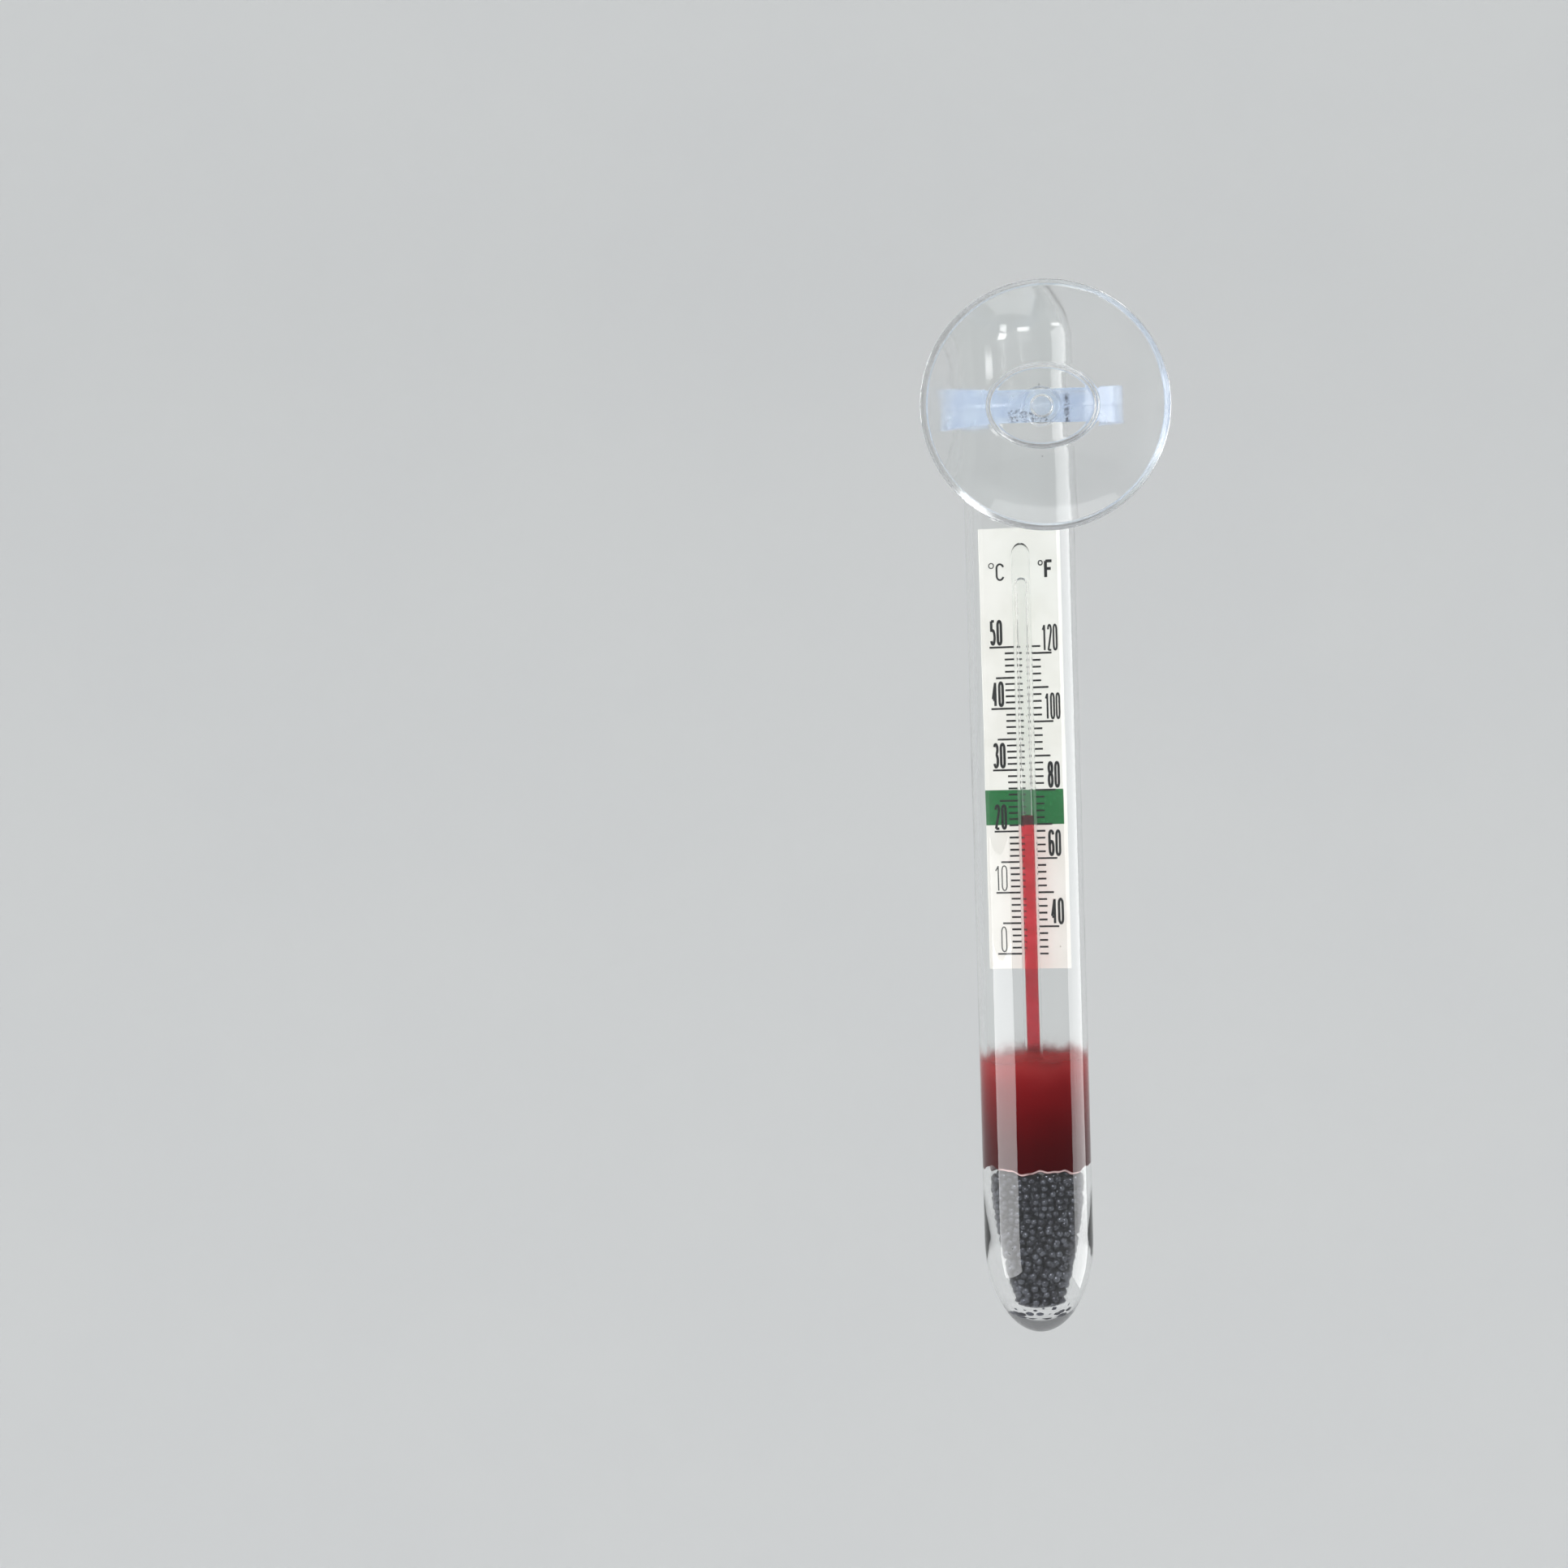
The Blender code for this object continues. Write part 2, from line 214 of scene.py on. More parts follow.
def turned_grid(profile, steps, lift=0.0):
    """Carries a profile of (radius, height) round the tube's axis.

    x = r cos t and y = r sin t from the axis, z = height. An outline that climbs faces outwards.
    """
    t = np.linspace(0, 2 * np.pi, steps + 1)
    grid = np.empty((len(profile), steps + 1, 3))
    grid[..., 0] = AXIS[0] + profile[:, :1] * np.cos(t)
    grid[..., 1] = AXIS[1] + profile[:, :1] * np.sin(t)
    grid[..., 2] = FOOT + profile[:, 1:] + lift
    return grid


def set_out(piece, body, slot, material, *nodes):
    """Gives a piece its material and the body it moves with, and hides the CAD nodes it stands for; its
    slot argument is not used.
    """
    piece.data.materials.clear()
    piece.data.materials.append(material)
    if body:
        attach(piece, body)
    if nodes:
        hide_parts(*nodes)
    return piece


# ---------------------------------------------------------------- shader work
def put(tree, kind, inputs=None, **settings):
    """Adds a node with its options, and sets or links its inputs by name or by number."""
    node = tree.nodes.new(kind)
    for key, value in settings.items():
        setattr(node, key, value)
    for key, value in (inputs or {}).items():
        if isinstance(value, bpy.types.NodeSocket):
            tree.links.new(value, node.inputs[key])
        else:
            node.inputs[key].default_value = value
    return node


def maths(tree, operation, *values):
    """One step of arithmetic on one, two or three values."""
    return put(tree, "ShaderNodeMath", dict(enumerate(values)), operation=operation).outputs[0]


def blend_colours(tree, share, first, second):
    """Mixes two colours by a share of the second."""
    return put(tree, "ShaderNodeMix", {0: share, 6: first, 7: second}, data_type="RGBA").outputs[2]


def share_between(tree, value, low, high, **settings):
    """How far a value is on its way from one limit to another, from 0 to 1."""
    limits = {"Value": value, "From Min": low, "From Max": high}
    return put(tree, "ShaderNodeMapRange", limits, **settings).outputs[0]


def noise(tree, here, scale, detail, distortion=0.0):
    """Cloudy noise between 0 and 1."""
    values = {"Vector": here, "Scale": scale, "Detail": detail, "Distortion": distortion}
    return put(tree, "ShaderNodeTexNoise", values).outputs["Fac"]


def effect(name, inputs, outputs):
    """A new shader group with named sockets, and its input and output nodes."""
    group = bpy.data.node_groups.new(name, "ShaderNodeTree")
    for label, kind, value in inputs:
        socket = group.interface.new_socket(label, in_out="INPUT", socket_type=kind)
        if value is not None:
            socket.default_value = value
    for label, kind in outputs:
        group.interface.new_socket(label, in_out="OUTPUT", socket_type=kind)
    return group, group.nodes.new("NodeGroupInput").outputs, group.nodes.new("NodeGroupOutput").inputs


VECTOR, NUMBER, COLOUR = "NodeSocketVector", "NodeSocketFloat", "NodeSocketColor"


def swell_effect():
    """Slow unevenness of drawn glass and moulded vinyl: noise stretched along the piece's height."""
    group, given, out = effect("slow_swell", [("Vector", VECTOR, None), ("Size", NUMBER, 200.0),
                                              ("Stretch", NUMBER, 0.3)], [("Height", NUMBER)])
    stretch = put(group, "ShaderNodeCombineXYZ", {"X": 1.0, "Y": 1.0, "Z": given["Stretch"]})
    place = put(group, "ShaderNodeVectorMath", {0: given["Vector"], 1: stretch.outputs[0]},
                operation="MULTIPLY")
    swell = put(group, "ShaderNodeTexNoise", {"Vector": place.outputs[0], "Scale": given["Size"],
                                              "Detail": 2.0, "Roughness": 0.45})
    group.links.new(swell.outputs["Fac"], out["Height"])
    return group


def smear_effect():
    """Handling smears: patches where a shiny surface turns a little duller."""
    group, given, out = effect("handling_smear", [("Vector", VECTOR, None), ("Size", NUMBER, 150.0),
                                                  ("Clean", NUMBER, 0.01), ("Dull", NUMBER, 0.05)],
                               [("Roughness", NUMBER)])
    cloud = noise(group, given["Vector"], given["Size"], 4.0, 0.6)
    patch = put(group, "ShaderNodeMapRange", {"Value": cloud, "From Min": 0.45, "From Max": 0.75,
                                              "To Min": given["Clean"], "To Max": given["Dull"]})
    group.links.new(patch.outputs["Result"], out["Roughness"])
    return group


def mottle_effect():
    """Uneven colour: two shades mixed by cloudy noise."""
    group, given, out = effect("mottle", [("Vector", VECTOR, None), ("Size", NUMBER, 400.0),
                                          ("Light", COLOUR, (0.8, 0.8, 0.8, 1)),
                                          ("Dark", COLOUR, (0.6, 0.6, 0.6, 1)),
                                          ("Detail", NUMBER, 3.0)], [("Color", COLOUR)])
    cloud = put(group, "ShaderNodeTexNoise", {"Vector": given["Vector"], "Scale": given["Size"],
                                              "Detail": given["Detail"], "Roughness": 0.6})
    patch = share_between(group, cloud.outputs["Fac"], 0.35, 0.65, interpolation_type="SMOOTHSTEP")
    group.links.new(blend_colours(group, patch, given["Light"], given["Dark"]), out["Color"])
    return group


def speck_effect():
    """Specks: small spots round some of a scatter of points."""
    group, given, out = effect("specks", [("Vector", VECTOR, None), ("Size", NUMBER, 900.0),
                                          ("Reach", NUMBER, 0.16), ("Share", NUMBER, 0.6)],
                               [("Mask", NUMBER)])
    cells = put(group, "ShaderNodeTexVoronoi", {"Vector": given["Vector"], "Scale": given["Size"]})
    spot = maths(group, "LESS_THAN", cells.outputs["Distance"], given["Reach"])
    red = put(group, "ShaderNodeSeparateColor", {"Color": cells.outputs["Color"]}).outputs[0]
    few = maths(group, "GREATER_THAN", red, given["Share"])
    group.links.new(maths(group, "MULTIPLY", spot, few), out["Mask"])
    return group


SWELL, SMEAR, MOTTLE, SPECKS = swell_effect(), smear_effect(), mottle_effect(), speck_effect()


def blank(name):
    """A material with nothing but its output, its tree, and the piece's own coordinates."""
    material = bpy.data.materials.new(name)
    material.use_nodes = True
    tree = material.node_tree
    tree.nodes.clear()
    return material, tree, put(tree, "ShaderNodeTexCoord").outputs["Object"]


def effect_in(tree, group, here, **values):
    """Places an effect in a material with its own values, and gives its outputs."""
    return put(tree, "ShaderNodeGroup", {"Vector": here, **values}, node_tree=group).outputs


def bump(tree, height, distance):
    """A normal raised by a height that runs from 0 to 1."""
    raised = {"Height": height, "Distance": distance, "Strength": 1.0}
    return put(tree, "ShaderNodeBump", raised).outputs[0]


def within(tree, value, low, high, soft=0.15 * MM):
    """A mask that is 1 between two places and eases to 0 just outside them."""
    rise = share_between(tree, value, low - soft, low + soft)
    fall = share_between(tree, value, high + soft, high - soft)
    return maths(tree, "MULTIPLY", rise, fall)


def finish(tree, shader):
    """Ends a material in its shader."""
    put(tree, "ShaderNodeOutputMaterial", {"Surface": shader.outputs[0]})


def finish_clear(tree, shader, shade):
    """Light that goes straight to or from a dull surface passes a clear piece without being bent."""
    path = put(tree, "ShaderNodeLightPath").outputs
    either = maths(tree, "MAXIMUM", path["Is Shadow Ray"], path["Is Diffuse Ray"])
    plain = put(tree, "ShaderNodeBsdfTransparent", {"Color": shade})
    finish(tree, put(tree, "ShaderNodeMixShader", {0: either, 1: shader.outputs[0], 2: plain.outputs[0]}))


# ---------------------------------------------------------------- materials
def clear_glass(name, swell_size, stretch, depth, smear_size, tint_size, light, dark, shade):
    """Clear glass: two faint tints, slow swells drawn out along its length, and a few smears."""
    material, tree, here = blank(name)
    swell = effect_in(tree, SWELL, here, Size=swell_size, Stretch=stretch)
    smear = effect_in(tree, SMEAR, here, Size=smear_size, Clean=0.0, Dull=0.02)
    tint = effect_in(tree, MOTTLE, here, Size=tint_size, Light=light, Dark=dark)
    shader = put(tree, "ShaderNodeBsdfPrincipled", {
        "Base Color": tint["Color"], "Roughness": smear["Roughness"], "IOR": 1.5,
        "Transmission Weight": 1.0, "Normal": bump(tree, swell["Height"], depth)})
    finish_clear(tree, shader, shade)
    return material


def tube_glass():
    """The tube's drawn glass, faintly grey-green."""
    return clear_glass("drawn_glass", 420.0, 0.22, 0.012 * MM, 260.0, 60.0, (0.990, 0.993, 0.990, 1),
                       (0.972, 0.982, 0.977, 1), (0.985, 0.988, 0.984, 1))


def stem_glass():
    """The capillary's glass, with fine lengthwise draw lines."""
    return clear_glass("capillary_glass", 2600.0, 0.06, 0.0012 * MM, 500.0, 80.0, (0.985, 0.99, 0.985, 1),
                       (0.965, 0.975, 0.968, 1), (0.98, 0.985, 0.98, 1))


def clear_vinyl():
    """Soft clear vinyl: a breath of blue, less crisp than glass, with mould swells and dust."""
    material, tree, here = blank("clear_soft_vinyl")
    swell = effect_in(tree, SWELL, here, Size=170.0, Stretch=1.0)
    smear = effect_in(tree, SMEAR, here, Size=190.0, Clean=0.06, Dull=0.13)
    tint = effect_in(tree, MOTTLE, here, Size=90.0, Light=(0.985, 0.990, 0.990, 1),
                     Dark=(0.960, 0.974, 0.974, 1))
    dust = effect_in(tree, SPECKS, here, Size=420.0, Reach=0.05, Share=0.75)
    colour = blend_colours(tree, dust["Mask"], tint["Color"], (0.55, 0.56, 0.57, 1))
    shader = put(tree, "ShaderNodeBsdfPrincipled", {
        "Base Color": colour, "Roughness": smear["Roughness"], "IOR": 1.5,
        "Transmission Weight": 1.0, "Normal": bump(tree, swell["Height"], 0.05 * MM)})
    finish_clear(tree, shader, (0.95, 0.97, 0.975, 1))
    return material


def blue_vinyl():
    """The band's translucent vinyl: milky blue and satin, with two dark, grainy patches on its front."""
    material, tree, here = blank("blue_translucent_vinyl")
    swell = effect_in(tree, SWELL, here, Size=900.0, Stretch=1.0)
    smear = effect_in(tree, SMEAR, here, Size=500.0, Clean=0.16, Dull=0.34)
    tint = effect_in(tree, MOTTLE, here, Size=420.0, Light=(0.80, 0.86, 0.95, 1),
                     Dark=(0.70, 0.77, 0.90, 1))
    grain = noise(tree, here, 3800.0, 3.0)
    place = put(tree, "ShaderNodeSeparateXYZ", {"Vector": here}).outputs
    front = within(tree, place["Y"], 0.0, BAND_CENTRE[1] - 3 * MM)
    marks = []
    for left, right, low, high, sparse in DARK_PATCHES:
        inside = maths(tree, "MULTIPLY", within(tree, place["X"], left, right), front)
        inside = maths(tree, "MULTIPLY", inside, within(tree, place["Z"], low, high))
        marks.append(maths(tree, "MULTIPLY", inside, share_between(tree, grain, sparse, sparse + 0.12)))
    colour = blend_colours(tree, maths(tree, "MAXIMUM", *marks), tint["Color"], (0.16, 0.17, 0.20, 1))
    shader = put(tree, "ShaderNodeBsdfPrincipled", {
        "Base Color": colour, "Roughness": smear["Roughness"], "IOR": 1.45,
        "Transmission Weight": 0.85, "Normal": bump(tree, swell["Height"], 0.02 * MM)})
    finish_clear(tree, shader, (0.84, 0.89, 0.96, 1))
    return material


def red_wax():
    """Dyed wax: dark below, redder above, and a pink film that thins out where it crept up the glass.

    Height sets the shade and the film's fade. A paler line, a painted highlight, follows the piece's lower
    edge by its v.
    """
    material, tree, here = blank("dyed_red_wax")
    height = put(tree, "ShaderNodeSeparateXYZ", {"Vector": here}).outputs["Z"]
    cloud = noise(tree, here, 420.0, 4.0)
    wander = maths(tree, "MULTIPLY_ADD", cloud, 1.8 * MM, height)
    share = share_between(tree, wander, FOOT + WAX_EDGE + 1.2 * MM, FOOT + FILM_TOP + 1.2 * MM)
    shades = put(tree, "ShaderNodeValToRGB", {"Fac": share})
    ramp = shades.color_ramp
    ramp.interpolation = "B_SPLINE"
    ramp.elements[0].color = (0.040, 0.0006, 0.0016, 1)
    ramp.elements[1].color = (0.36, 0.075, 0.070, 1)
    for position, colour in ((0.30, (0.065, 0.0008, 0.002)), (0.62, (0.150, 0.002, 0.004)),
                             (0.82, (0.26, 0.018, 0.020))):
        ramp.elements.new(position).color = (*colour, 1)
    fade = share_between(tree, wander, FOOT + FILM_TOP + 0.7 * MM, FOOT + WAX_TOP + 0.5 * MM,
                         interpolation_type="SMOOTHSTEP")
    # painted highlight: a pale line along the wax's lower edge, where it sits on the shot
    spread = put(tree, "ShaderNodeTexCoord").outputs["UV"]
    along = put(tree, "ShaderNodeSeparateXYZ", {"Vector": spread}).outputs["Y"]
    away = maths(tree, "ABSOLUTE", maths(tree, "SUBTRACT", along, WAX_LINE))
    painted_edge_highlight = share_between(tree, away, 0.020, 0.008)
    patchy = share_between(tree, cloud, 0.38, 0.52)
    pale = maths(tree, "MULTIPLY", painted_edge_highlight, patchy)
    colour = blend_colours(tree, pale, shades.outputs["Color"], (0.62, 0.42, 0.42, 1))
    shader = put(tree, "ShaderNodeBsdfPrincipled", {
        "Base Color": colour, "Roughness": 0.45, "IOR": 1.45, "Specular IOR Level": 0.02,
        "Alpha": fade, "Normal": bump(tree, cloud, 0.05 * MM)})
    finish(tree, shader)
    return material


def red_spirit():
    """Dyed spirit: clear red, so print behind it shows dark and green behind it turns black."""
    material, tree, here = blank("dyed_red_spirit")
    tint = effect_in(tree, MOTTLE, here, Size=700.0, Light=(0.80, 0.022, 0.050, 1),
                     Dark=(0.66, 0.010, 0.028, 1))
    smear = effect_in(tree, SMEAR, here, Size=900.0, Clean=0.0, Dull=0.02)
    shader = put(tree, "ShaderNodeBsdfPrincipled", {
        "Base Color": tint["Color"], "Roughness": smear["Roughness"], "IOR": 1.36,
        "Transmission Weight": 1.0})
    finish_clear(tree, shader, (0.80, 0.10, 0.14, 1))
    return material


def shot_metal():
    """Fine metal shot: dark, oxidised unevenly from ball to ball, with small bright points."""
    material, tree, here = blank("dark_metal_shot")
    tint = effect_in(tree, MOTTLE, here, Size=900.0, Light=(0.13, 0.135, 0.16, 1),
                     Dark=(0.035, 0.035, 0.045, 1))
    smear = effect_in(tree, SMEAR, here, Size=1400.0, Clean=0.12, Dull=0.30)
    grain = noise(tree, here, 6000.0, 2.0)
    shader = put(tree, "ShaderNodeBsdfPrincipled", {
        "Base Color": tint["Color"], "Roughness": smear["Roughness"], "Metallic": 0.85,
        "Normal": bump(tree, grain, 0.002 * MM)})
    finish(tree, shader)
    return material


def card_paper():
    """Coated card: warm off-white, with fibres, a faint cloudiness and a few specks."""
    material, tree, here = blank("coated_card")
    cloud = effect_in(tree, MOTTLE, here, Size=260.0, Light=(0.87, 0.85, 0.81, 1),
                      Dark=(0.82, 0.80, 0.755, 1))
    specks = effect_in(tree, SPECKS, here, Size=700.0, Reach=0.07, Share=0.8)
    colour = blend_colours(tree, specks["Mask"], cloud["Color"], (0.45, 0.42, 0.36, 1))
    fibre = noise(tree, here, 7000.0, 3.0, 1.0)
    smear = effect_in(tree, SMEAR, here, Size=300.0, Clean=0.55, Dull=0.75)
    shader = put(tree, "ShaderNodeBsdfPrincipled", {
        "Base Color": colour, "Roughness": smear["Roughness"], "Specular IOR Level": 0.3,
        "Normal": bump(tree, fibre, 0.008 * MM)})
    finish(tree, shader)
    return material


def print_ink(name, solid, worn):
    """Screen ink: a dense colour that breaks up in pinholes and thins unevenly."""
    material, tree, here = blank(name)
    dense = effect_in(tree, MOTTLE, here, Size=2600.0, Light=solid, Dark=worn, Detail=5.0)
    holes = effect_in(tree, SPECKS, here, Size=5200.0, Reach=0.20, Share=0.82)
    bare = (*(min(1.0, 3.0 * part + 0.03) for part in worn[:3]), 1)
    colour = blend_colours(tree, holes["Mask"], dense["Color"], bare)
    smear = effect_in(tree, SMEAR, here, Size=900.0, Clean=0.35, Dull=0.6)
    shader = put(tree, "ShaderNodeBsdfPrincipled", {
        "Base Color": colour, "Roughness": smear["Roughness"], "Specular IOR Level": 0.3})
    finish(tree, shader)
    return material


def stage_paper():
    """The floor's plain pale paper, with a barely visible tooth."""
    material, tree, here = blank("pale_backdrop")
    tint = effect_in(tree, MOTTLE, here, Size=9.0, Light=(0.765, 0.775, 0.775, 1),
                     Dark=(0.755, 0.765, 0.768, 1))
    finish(tree, put(tree, "ShaderNodeBsdfPrincipled", {
        "Base Color": tint["Color"], "Roughness": 0.9, "Specular IOR Level": 0.1}))
    return material


# ---------------------------------------------------------------- suction cup and band
def cap_depth(radius, edge_r, edge_y, apex_y):
    """How deep a shallow round cap lies at a radius: part of a sphere through its edge and its apex."""
    rise = apex_y - edge_y
    ball = (edge_r ** 2 + rise ** 2) / (2 * rise)
    return apex_y - ball + np.sqrt(np.maximum(ball ** 2 - radius ** 2, 0.0))


def oval(angle, half_x, half_z):
    """An oval's radius in a direction."""
    return 1.0 / np.sqrt((np.cos(angle) / half_x) ** 2 + (np.sin(angle) / half_z) ** 2)


def cup_rows(angle):
    """The cup's outline, row by row, as (radius, depth) for every direction.

    It runs from the middle of the hollow face out to the lip, round the edge, in along the domed
    back to the oval boss, over the boss, and along the neck to the end of the knob.
    """
    flat = np.ones_like(angle)
    hollow_r = CUP_R - CUP_LIP
    rows = []

    def add(radius, depth):
        rows.append((radius * flat, depth * flat))

    def add_arc(points):
        for radius, depth in points:
            add(max(radius, 0.0), depth)

    for part in np.linspace(0, 1, 30):
        radius = hollow_r * math.sin(0.5 * math.pi * part)
        add(radius, cap_depth(radius, hollow_r, 0.0, CUP_DISH))
    lip = 0.12 * MM
    add_arc(bow(CUP_R - lip, lip, lip, lip, -90, 0, 6))
    turn = 0.22 * MM
    add_arc(bow(CUP_R - turn, CUP_EDGE - 0.05 * MM, turn, turn, 0, 60, 6))
    boss = oval(angle, BOSS_X, BOSS_Z)
    edge_r, edge_y = rows[-1][0][0], rows[-1][1][0]
    fillet = 0.45 * MM
    for part in np.linspace(0, 1, 30)[1:]:
        radius = edge_r + (boss + fillet - edge_r) * part
        rows.append((radius, cap_depth(radius, edge_r, edge_y, CUP_BACK)))
    root = rows[-1][1]
    for part in np.radians(np.linspace(0, 90, 8))[1:]:
        rows.append((boss + fillet * (1 - np.sin(part)), root + fillet * (1 - np.cos(part))))
    soft = 0.45 * MM
    for part in np.radians(np.linspace(0, 90, 9)):
        rows.append((boss - soft * (1 - np.cos(part)), (BOSS_END - soft + soft * np.sin(part)) * flat))
    flare = 0.35 * MM
    neck_root = NECK_R + flare
    for part in np.linspace(0, 1, 10)[1:]:
        rows.append(((boss - soft) * (1 - part) + neck_root * part, BOSS_END * flat))
    add_arc(bow(neck_root, BOSS_END + flare, flare, flare, 270, 180, 6)[1:])
    under = 0.25 * MM
    add_arc(bow(neck_root - 0.1 * MM, KNOB_START - under, under, under, 180, 90, 5))
    add(KNOB_R - 0.2 * MM, KNOB_START)
    add_arc(bow(KNOB_R - 0.2 * MM, KNOB_START + under, 0.2 * MM, under, -60, 0, 5))
    head = KNOB_START + 0.4 * MM
    add_arc(bow(0.0, head, KNOB_R, KNOB_END - head, 0, 90, 14))
    return rows


def suction_cup(material):
    """The clear cup: rings of points about the Y axis, round at the lip and oval at the boss."""
    angle = np.linspace(0, 2 * np.pi, 145)
    radius, depth = (np.array(part) for part in zip(*cup_rows(angle)))
    grid = np.stack([radius * np.cos(angle), depth, -radius * np.sin(angle)], axis=-1)
    return set_out(skin("suction_cup_clear", [grid], 50), "cup", "clear_vinyl", material, "suction_cup")


def ring_clip(material):
    """The band: a strip bent into an oval, with a round hole in front for the cup's neck.

    A point's place along the strip is an angle about the band's middle. Round the hole the rows
    run from its circle out to a rectangle, whose sides meet the rest of the strip.
    """
    half_x, half_y, half_z = BAND_HALF
    rise, across, patch = 12, 16, BAND_PATCH

    def wrap(along, height):
        angle = -0.5 * np.pi + along / half_x
        ripple = 0.05 * MM * np.sin(3 * angle + 0.7) + 0.04 * MM * np.sin(7 * angle)
        lean = height / half_z
        groove = GROOVE_DEPTH * np.clip(1 - np.abs(height) / GROOVE_HALF, 0, 1) * (np.abs(along) > patch)
        return np.stack([BAND_CENTRE[0] + (half_x - groove) * np.cos(angle),
                         BAND_CENTRE[1] + (half_y - groove) * np.sin(angle),
                         BAND_CENTRE[2] + height - ripple * np.abs(lean) * np.sign(lean)], axis=-1)

    side = np.concatenate([np.linspace(-half_z, -GROOVE_HALF, rise // 2), [0.0],
                           np.linspace(GROOVE_HALF, half_z, rise // 2)])
    top = np.linspace(-patch, patch, across + 1)
    edge = np.concatenate([
        np.stack([np.full(rise, patch), side[::-1][:-1]], -1),
        np.stack([top[::-1][:-1], np.full(across, -half_z)], -1),
        np.stack([np.full(rise, -patch), side[:-1]], -1),
        np.stack([top, np.full(across + 1, half_z)], -1)])
    circle = BAND_HOLE_R * edge / np.linalg.norm(edge, axis=1, keepdims=True)
    share = np.linspace(0, 1, 6)[:, None, None]
    polar = circle * (1 - share) + edge * share
    front = wrap(polar[..., 0], polar[..., 1])
    round_trip = 2 * np.pi * half_x
    along, height = np.meshgrid(np.linspace(patch, round_trip - patch, 121), side)
    rest = wrap(along, height)
    piece = skin("ring_clip_soft", [front, rest], 180)
    wall = piece.modifiers.new("wall", "SOLIDIFY")
    wall.thickness = BAND_WALL
    wall.offset = -1.0
    wall.use_even_offset = True
    edge_round = piece.modifiers.new("rolled_edge", "BEVEL")
    edge_round.width = 0.12 * MM
    edge_round.segments = 3
    edge_round.limit_method = "ANGLE"
    edge_round.angle_limit = math.radians(50)
    return set_out(piece, "band", "blue_vinyl", material, "ring_clip")


# ---------------------------------------------------------------- tube
def cavity_radius(height):
    """The tube's inner radius at a height: a small round tip, then a long eased flare to the full bore."""
    tip_top = CAVITY_FLOOR + CAVITY_TIP_H
    drop = np.clip((tip_top - height) / CAVITY_TIP_H, 0.0, 1.0)
    part = np.clip((height - tip_top) / (CAVITY_FULL_H - tip_top), 0.0, 1.0)
    flare = np.sin(0.5 * np.pi * part) ** 0.85
    return CAVITY_TIP_R * np.sqrt(1 - drop ** 2) + (CAVITY_R - CAVITY_TIP_R) * flare


def tube_envelope(material):
    """The sealed tube: its outer outline climbs from nose to dome, and its inner one comes back down."""
    seal = extent("sealed_end")[0][2] - FOOT
    rise = TUBE_TOP - seal - 0.8 * MM
    inner_rise = rise - 0.55 * WALL
    outer = np.concatenate([bow(0, NOSE, TUBE_R, NOSE, -90, 0, 40)[:-1],
                            run((TUBE_R, NOSE), (TUBE_R, TUBE_TOP - rise), 60),
                            bow(0, TUBE_TOP - rise, TUBE_R, rise, 0, 90, 32)])
    inner_top = bow(0, TUBE_TOP - rise, CAVITY_R, inner_rise, 90, 0, 30)
    height = np.linspace(1, 0, 60) ** 1.5 * (CAVITY_FULL_H - CAVITY_FLOOR) + CAVITY_FLOOR
    inner = np.concatenate([inner_top[:-1], run((CAVITY_R, TUBE_TOP - rise), (CAVITY_R, CAVITY_FULL_H), 60),
                            np.stack([cavity_radius(height), height], -1)])
    outer[[0, -1], 0] = 0.0
    inner[[0, -1], 0] = 0.0
    piece = skin("tube_envelope", [turned_grid(outer, 128), turned_grid(inner, 128)], 60)
    return set_out(piece, "tube", "tube_glass", material, "glass_tube", "sealed_end")


# ---------------------------------------------------------------- contents
def shot_pellets(material):
    """The shot: rings of balls climb the cavity's wall in two layers, each a little out of line."""
    rng = np.random.default_rng(11)
    turn, tilt = np.meshgrid(np.linspace(0, 2 * np.pi, 9), np.linspace(-0.5 * np.pi, 0.5 * np.pi, 6))
    ball = np.stack([np.cos(tilt) * np.cos(turn), np.cos(tilt) * np.sin(turn), np.sin(tilt)], axis=-1)
    places = []
    for layer in range(2):
        inset = SHOT_R * (1.02 + 1.5 * layer)
        height = np.linspace(CAVITY_FLOOR + inset, SHOT_TOP - SHOT_R, 400)
        radius = np.maximum(cavity_radius(height) - inset, 0.0)
        along = np.concatenate([[0], np.cumsum(np.hypot(np.diff(height), np.diff(radius)))])
        for stop in np.arange(0, along[-1], 1.72 * SHOT_R):
            ring, level = np.interp(stop, along, radius), np.interp(stop, along, height)
            count = max(1, int(2 * np.pi * ring / (1.98 * SHOT_R)))
            around = 2 * np.pi * (np.arange(count) + rng.uniform(0, 1)) / count
            jog = rng.normal(0, 0.17, (count, 3)) * SHOT_R * 2
            lifted = np.clip(level + jog[:, 2], CAVITY_FLOOR + inset, SHOT_TOP - SHOT_R)
            spread = np.clip(ring + jog[:, 0], 0.0, np.maximum(cavity_radius(lifted) - inset, 0.0))
            around = around + jog[:, 1] / max(ring, SHOT_R)
            places.append(np.stack([AXIS[0] + spread * np.cos(around), AXIS[1] + spread * np.sin(around),
                                    FOOT + lifted], axis=-1))
    centres = np.concatenate(places)
    size = SHOT_R * rng.uniform(0.93, 1.0, len(centres))
    grids = [centre + ball * r for centre, r in zip(centres, size)]
    return set_out(skin("shot_pellets", grids, 180), "contents", "shot_metal", material, "ballast_shot")


def shot_core(material):
    """The dark heart of the charge, behind the balls that show."""
    inset = 2.3 * SHOT_R
    height = np.linspace(CAVITY_FLOOR + inset, SHOT_TOP - 2 * SHOT_R, 40)
    radius = np.maximum(cavity_radius(height) - inset, 0.05 * MM)
    profile = np.concatenate([[(0.0, height[0])], np.stack([radius, height], -1), [(0.0, height[-1])]])
    return set_out(skin("shot_core", [turned_grid(profile, 48)]), "contents", "shot_metal", material)


